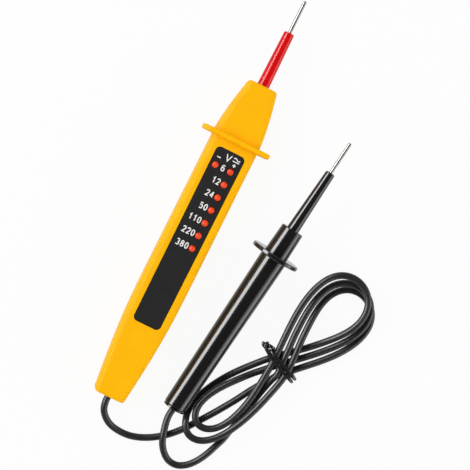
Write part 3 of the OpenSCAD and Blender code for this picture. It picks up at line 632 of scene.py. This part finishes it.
# The yellow shells carry the painted shade line at their seam
YELLOW = moulded("shell_yellow", (255, 184, 0), 0.5, vary=0.05, spec=0.05, with_seam_shade=True)
PANEL = moulded("panel_black", (24, 22, 25), 0.6, vary=0.12, grain=3200.0, spec=0.16)
RED = moulded("sleeve_red", (210, 2, 6), 0.19, vary=0.05, depth=POLISHED_DEPTH, strength=0.02,
              spec=0.34, ior=1.36)
PROBE = moulded("probe_black", (26, 24, 24), 0.16, vary=0.12, depth=POLISHED_DEPTH, strength=0.03,
                spec=0.56, ior=1.4)
LEAD = lead_material("lead_black", (32, 29, 29), 0.42)
TIE = moulded("tie_black", (28, 26, 28), 0.28, vary=0.1, depth=POLISHED_DEPTH, strength=0.1, spec=0.4)
GLAND = moulded("gland_black", (34, 33, 34), 0.45, vary=0.1)
STEEL = metal("steel_bright", (122, 120, 117), 0.27)
BRASS = metal("brass_crimp", (214, 184, 118), 0.32)
LIGHT = light_material("light_red", (240, 74, 30))
BOARD = board_material("board_green")
RESISTOR = banded("resistor_blue", (150, 190, 210), RESISTOR_RINGS, first=0.16, pitch=0.17, rough=0.35)
DIODE = banded("diode_black", (26, 24, 24), DIODE_RINGS, first=0.72, pitch=0.12, rough=0.35)
WIRE = moulded("wire_red", (188, 30, 28), 0.4, vary=0.08, strength=0.15)
WHITE = moulded("print_white", (236, 234, 230), 0.5, vary=0.05, grain=3000.0, depth=POLISHED_DEPTH,
                strength=0.1)

# The material of each node of the model; the nodes that aren't named are the lights
LOOK = {
    "front_shell": YELLOW, "rear_shell": YELLOW, "display_panel": PANEL, "circuit_board": BOARD,
    "resistors": RESISTOR, "diodes": DIODE, "housing_screws": STEEL, "red_sleeve": RED,
    "tester_pin": STEEL, "pin_crimp": BRASS, "pin_wire": WIRE, "lead_gland": GLAND,
    "lead_clamp": STEEL, "lead_jacket": LEAD, "lead_core": WIRE, "probe_barrel": PROBE,
    "probe_collar": PROBE, "probe_stem": PROBE, "probe_pin": STEEL, "probe_cap": PROBE,
    "probe_crimp": BRASS, "probe_jacket": LEAD, "probe_core": WIRE, "cord_tester_end": LEAD,
    "cord_hank": LEAD, "cord_probe_end": LEAD, "cord_tie": TIE,
}


def dress(obj, material):
    obj.data.materials.clear()
    obj.data.materials.append(material)


for node_name, node in frame["nodes"].items():
    dress(node, LOOK.get(node_name, LIGHT))
dress(lead, LEAD)
dress(probe_lead, LEAD)
dress(tie, TIE)


# Printed marks on the display panel: digits and signs drawn as flat strokes

PRINT_Z = 15.85
PRINT_T = 0.02
PRINT_LAYER = 0.008
STROKE = 0.49
DIGIT_H = 2.9
DIGIT_W = 1.65
DIGIT_PITCH = 2.05
ARC_STEPS = 12
SAME_POINT = 1e-6
MITRE_LIMIT = 0.45


def arc(cx, cy, rx, ry, start, end, power=0.85):
    """Points of a slightly squared arc, angles in degrees, in a box that is 1 by 1."""
    out = []
    for i in range(ARC_STEPS + 1):
        a = math.radians(mix(start, end, i / ARC_STEPS))
        out.append((cx + rx * signed_pow(math.cos(a), power), cy + ry * signed_pow(math.sin(a), power)))
    return out


DIGITS = {
    "0": [arc(0.5, 0.5, 0.5, 0.5, 0, 360)],
    "1": [[(0.14, 0.76), (0.62, 1), (0.62, 0)]],
    "2": [arc(0.5, 0.73, 0.48, 0.27, 170, -25) + [(0.02, 0), (1, 0)]],
    "3": [arc(0.47, 0.755, 0.45, 0.245, 150, -90), arc(0.47, 0.255, 0.51, 0.255, 90, -150)],
    "4": [[(1, 0.28), (0, 0.28), (0.74, 1)], [(0.74, 1), (0.74, 0)]],
    "5": [[(0.94, 1), (0.18, 1), (0.1, 0.5)] + arc(0.48, 0.32, 0.52, 0.32, 130, -140)],
    "6": [arc(0.5, 0.31, 0.5, 0.31, 0, 360), arc(0.56, 0.5, 0.56, 0.5, 50, 185)],
    "8": [arc(0.5, 0.76, 0.42, 0.24, 0, 360, 1.1), arc(0.5, 0.26, 0.5, 0.26, 0, 360, 1.1)],
    "V": [[(0, 1), (0.5, 0), (1, 1)]],
    "+": [[(0, 0.5), (1, 0.5)], [(0.5, 0), (0.5, 1)]],
}


def stroke(bm, points, width, layer=0):
    """Flat printed stroke through points in millimetres, closed where its ends meet."""
    top = PRINT_Z + PRINT_T + layer * PRINT_LAYER
    closed = math.dist(points[0], points[-1]) < SAME_POINT
    if closed:
        points = points[:-1]
    n = len(points)
    rings = []
    for i, p in enumerate(points):
        before = points[i - 1] if i or closed else p
        after = points[(i + 1) % n] if i + 1 < n or closed else p
        d1 = unit([p[0] - before[0], p[1] - before[1], 0.0]) if before != p else None
        d2 = unit([after[0] - p[0], after[1] - p[1], 0.0]) if after != p else None
        d1, d2 = d1 or d2, d2 or d1
        m = unit([d1[0] + d2[0], d1[1] + d2[1], 0.0])
        reach = width / 2 / max(MITRE_LIMIT, m[0] * d1[0] + m[1] * d1[1])
        ring = []
        for side in (1, -1):
            x, y = p[0] - side * m[1] * reach, p[1] + side * m[0] * reach
            ring.append([bm.verts.new((x * MM, y * MM, z * MM)) for z in (PRINT_Z, top)])
        rings.append(ring)
    pairs = list(zip(rings, rings[1:] + rings[:1]))
    for (a, b), (c, d) in pairs if closed else pairs[:-1]:
        bm.faces.new((a[1], b[1], d[1], c[1]))
        bm.faces.new((a[0], c[0], d[0], b[0]))
        bm.faces.new((a[0], a[1], c[1], c[0]))
        bm.faces.new((b[0], d[0], d[1], b[1]))
    if not closed:
        for a, b in (rings[0], rings[-1]):
            bm.faces.new((a[0], a[1], b[1], b[0]))


def glyph(bm, sign, x, y, w, h, width=STROKE):
    """One digit or sign, centred on x, y; w and h are its outside measures."""
    for layer, line in enumerate(DIGITS[sign]):
        points = [(x + (px - 0.5) * (w - width), y + (py - 0.5) * (h - width)) for px, py in line]
        stroke(bm, points, width, layer)


# Places of the lights, repeated from the part's source, and of the marks beside and above them
LIGHT_X = 3.2
POLARITY_X = -3.9
LIGHT_Y = 47.9
LIGHT_PITCH = 6.0
NUMBERS_END = 1.3
SIX_X = -0.3
NUMBERS_UP = 0.2
SCALE = ["6", "12", "24", "50", "110", "220", "380"]
VOLT_X = -0.1
VOLT_UP = 5.0
VOLT_SIZE = (2.7, 3.3)
PLUS_RIGHT = 0.25
PLUS_UP = 3.05
PLUS_SIZE = 1.9
PLUS_STROKE = 0.5
MINUS_FROM_TO = (-0.85, 0.75)
MINUS_UP = 3.6
MINUS_STROKE = 0.46
CURRENT_FROM_TO = (-1.2, 1.8)
WAVE_UP = 5.85
WAVE_H = 0.4
WAVE_STEPS = 16
BAR_UP = 4.7
CURRENT_STROKE = 0.44


def scale_marks():
    """The scale's numbers, the volt sign, plus and minus, and the sign for both kinds of current."""
    bm = bmesh.new()
    for i, text in enumerate(SCALE):
        y = LIGHT_Y - i * LIGHT_PITCH + NUMBERS_UP
        for k, sign in enumerate(reversed(text)):
            x = NUMBERS_END - DIGIT_W / 2 - k * DIGIT_PITCH if len(text) > 1 else SIX_X
            glyph(bm, sign, x, y, DIGIT_W, DIGIT_H)
    glyph(bm, "V", VOLT_X, LIGHT_Y + VOLT_UP, *VOLT_SIZE)
    glyph(bm, "+", LIGHT_X + PLUS_RIGHT, LIGHT_Y + PLUS_UP, PLUS_SIZE, PLUS_SIZE, PLUS_STROKE)
    stroke(bm, [(POLARITY_X + dx, LIGHT_Y + MINUS_UP) for dx in MINUS_FROM_TO], MINUS_STROKE)
    x0, x1 = [LIGHT_X + dx for dx in CURRENT_FROM_TO]
    wave = []
    for i in range(WAVE_STEPS + 1):
        t = i / WAVE_STEPS
        wave.append((mix(x0, x1, t), LIGHT_Y + WAVE_UP + WAVE_H * math.sin(2 * math.pi * t)))
    stroke(bm, wave, CURRENT_STROKE)
    stroke(bm, [(x0, LIGHT_Y + BAR_UP), (x1, LIGHT_Y + BAR_UP)], CURRENT_STROKE)
    bmesh.ops.recalc_face_normals(bm, faces=bm.faces)
    return add_object("scale_marks", bm)


marks = scale_marks()
dress(marks, WHITE)
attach(marks, "tester")


# Floor, world and lamps

FLOOR_HALF = 3.0
FLOOR_DROP = 0.0001
FLOOR_GREY = 0.8
FLOOR_GLOW = 0.925
SKY_LEVEL = 0.69

# The studio as reflections show it: white round the horizon, dark overhead
OVERHEAD = [(0.1, 1.0), (0.2, 0.45), (0.38, 0.12), (0.6, 0.03)]


def seen_rays(tree):
    """1 for camera, glossy and transmission rays, and 0 for the rays that light the object."""
    path = tree.nodes.new("ShaderNodeLightPath")
    result = path.outputs["Is Camera Ray"]
    for kind in ("Is Glossy Ray", "Is Transmission Ray"):
        either = tree.nodes.new("ShaderNodeMath")
        either.operation = "MAXIMUM"
        tree.links.new(result, either.inputs[0])
        tree.links.new(path.outputs[kind], either.inputs[1])
        result = either.outputs[0]
    return result


def mixed(tree, share, first, second, out):
    """Sends the first shader to the output where the share is 0, and the second where it is 1."""
    mixer = tree.nodes.new("ShaderNodeMixShader")
    tree.links.new(share, mixer.inputs[0])
    tree.links.new(first.outputs[0], mixer.inputs[1])
    tree.links.new(second.outputs[0], mixer.inputs[2])
    tree.links.new(mixer.outputs[0], out.inputs["Surface"])


def backdrop():
    """White floor that keeps the object's shadow."""
    bm = bmesh.new()
    bmesh.ops.create_grid(bm, x_segments=1, y_segments=1, size=FLOOR_HALF)
    floor = add_object("floor", bm)
    floor.location.z = -FLOOR_DROP
    mat = bpy.data.materials.new("floor_white")
    mat.use_nodes = True
    t = mat.node_tree
    t.nodes.clear()
    out = t.nodes.new("ShaderNodeOutputMaterial")
    diffuse = t.nodes.new("ShaderNodeBsdfDiffuse")
    diffuse.inputs["Color"].default_value = (FLOOR_GREY, FLOOR_GREY, FLOOR_GREY, 1)
    glow = t.nodes.new("ShaderNodeEmission")
    glow.inputs["Color"].default_value = (1, 1, 1, 1)
    part = t.nodes.new("ShaderNodeMath")
    part.operation = "MULTIPLY"
    part.inputs[1].default_value = FLOOR_GLOW
    t.links.new(seen_rays(t), part.inputs[0])
    mixed(t, part.outputs[0], diffuse, glow, out)
    dress(floor, mat)


def world():
    """Even white light, and the studio that the camera and the reflections see."""
    w = bpy.data.worlds.new("studio")
    bpy.context.scene.world = w
    w.use_nodes = True
    t = w.node_tree
    t.nodes.clear()
    out = t.nodes.new("ShaderNodeOutputWorld")
    sky = t.nodes.new("ShaderNodeBackground")
    sky.inputs["Color"].default_value = (1, 1, 1, 1)
    sky.inputs["Strength"].default_value = SKY_LEVEL
    seen = t.nodes.new("ShaderNodeBackground")
    coord = t.nodes.new("ShaderNodeTexCoord")
    split = t.nodes.new("ShaderNodeSeparateXYZ")
    ramp = t.nodes.new("ShaderNodeValToRGB")
    while len(ramp.color_ramp.elements) < len(OVERHEAD):
        ramp.color_ramp.elements.new(0.5)
    for item, (at, level) in zip(ramp.color_ramp.elements, OVERHEAD):
        item.position = at
        item.color = (level, level, level, 1)
    t.links.new(coord.outputs["Generated"], split.inputs["Vector"])
    t.links.new(split.outputs["Z"], ramp.inputs["Fac"])
    t.links.new(ramp.outputs["Color"], seen.inputs["Color"])
    mixed(t, seen_rays(t), sky, seen, out)


LAMPS_TO = (0.03, 0.0, 0.0)
LAMP_LEN = 1.4


def lamp(name, at, height, power, in_gloss_only=False):
    """Long softbox that faces the object; it can show only in reflections."""
    data = bpy.data.lights.new(name, "AREA")
    data.shape = "RECTANGLE"
    data.size = LAMP_LEN
    data.size_y = height
    data.energy = power
    obj = bpy.data.objects.new(name, data)
    bpy.context.collection.objects.link(obj)
    obj.location = at
    direction = Vector(LAMPS_TO) - Vector(at)
    obj.rotation_euler = direction.to_track_quat("-Z", "Y").to_euler()
    obj.visible_diffuse = not in_gloss_only


backdrop()
world()
lamp("strip_left", (-0.8, 0.05, 0.58), height=0.42, power=5.8)
lamp("gloss_left", (-0.78, 0.05, 0.565), height=0.48, power=34.0, in_gloss_only=True)
lamp("soft_right", (0.95, 0.0, 0.24), height=0.4, power=4.2)
lamp("gloss_right", (0.9, 0.0, 0.36), height=0.62, power=6.5, in_gloss_only=True)

bpy.context.scene.view_settings.view_transform = "Standard"

bpy.context.view_layer.update()
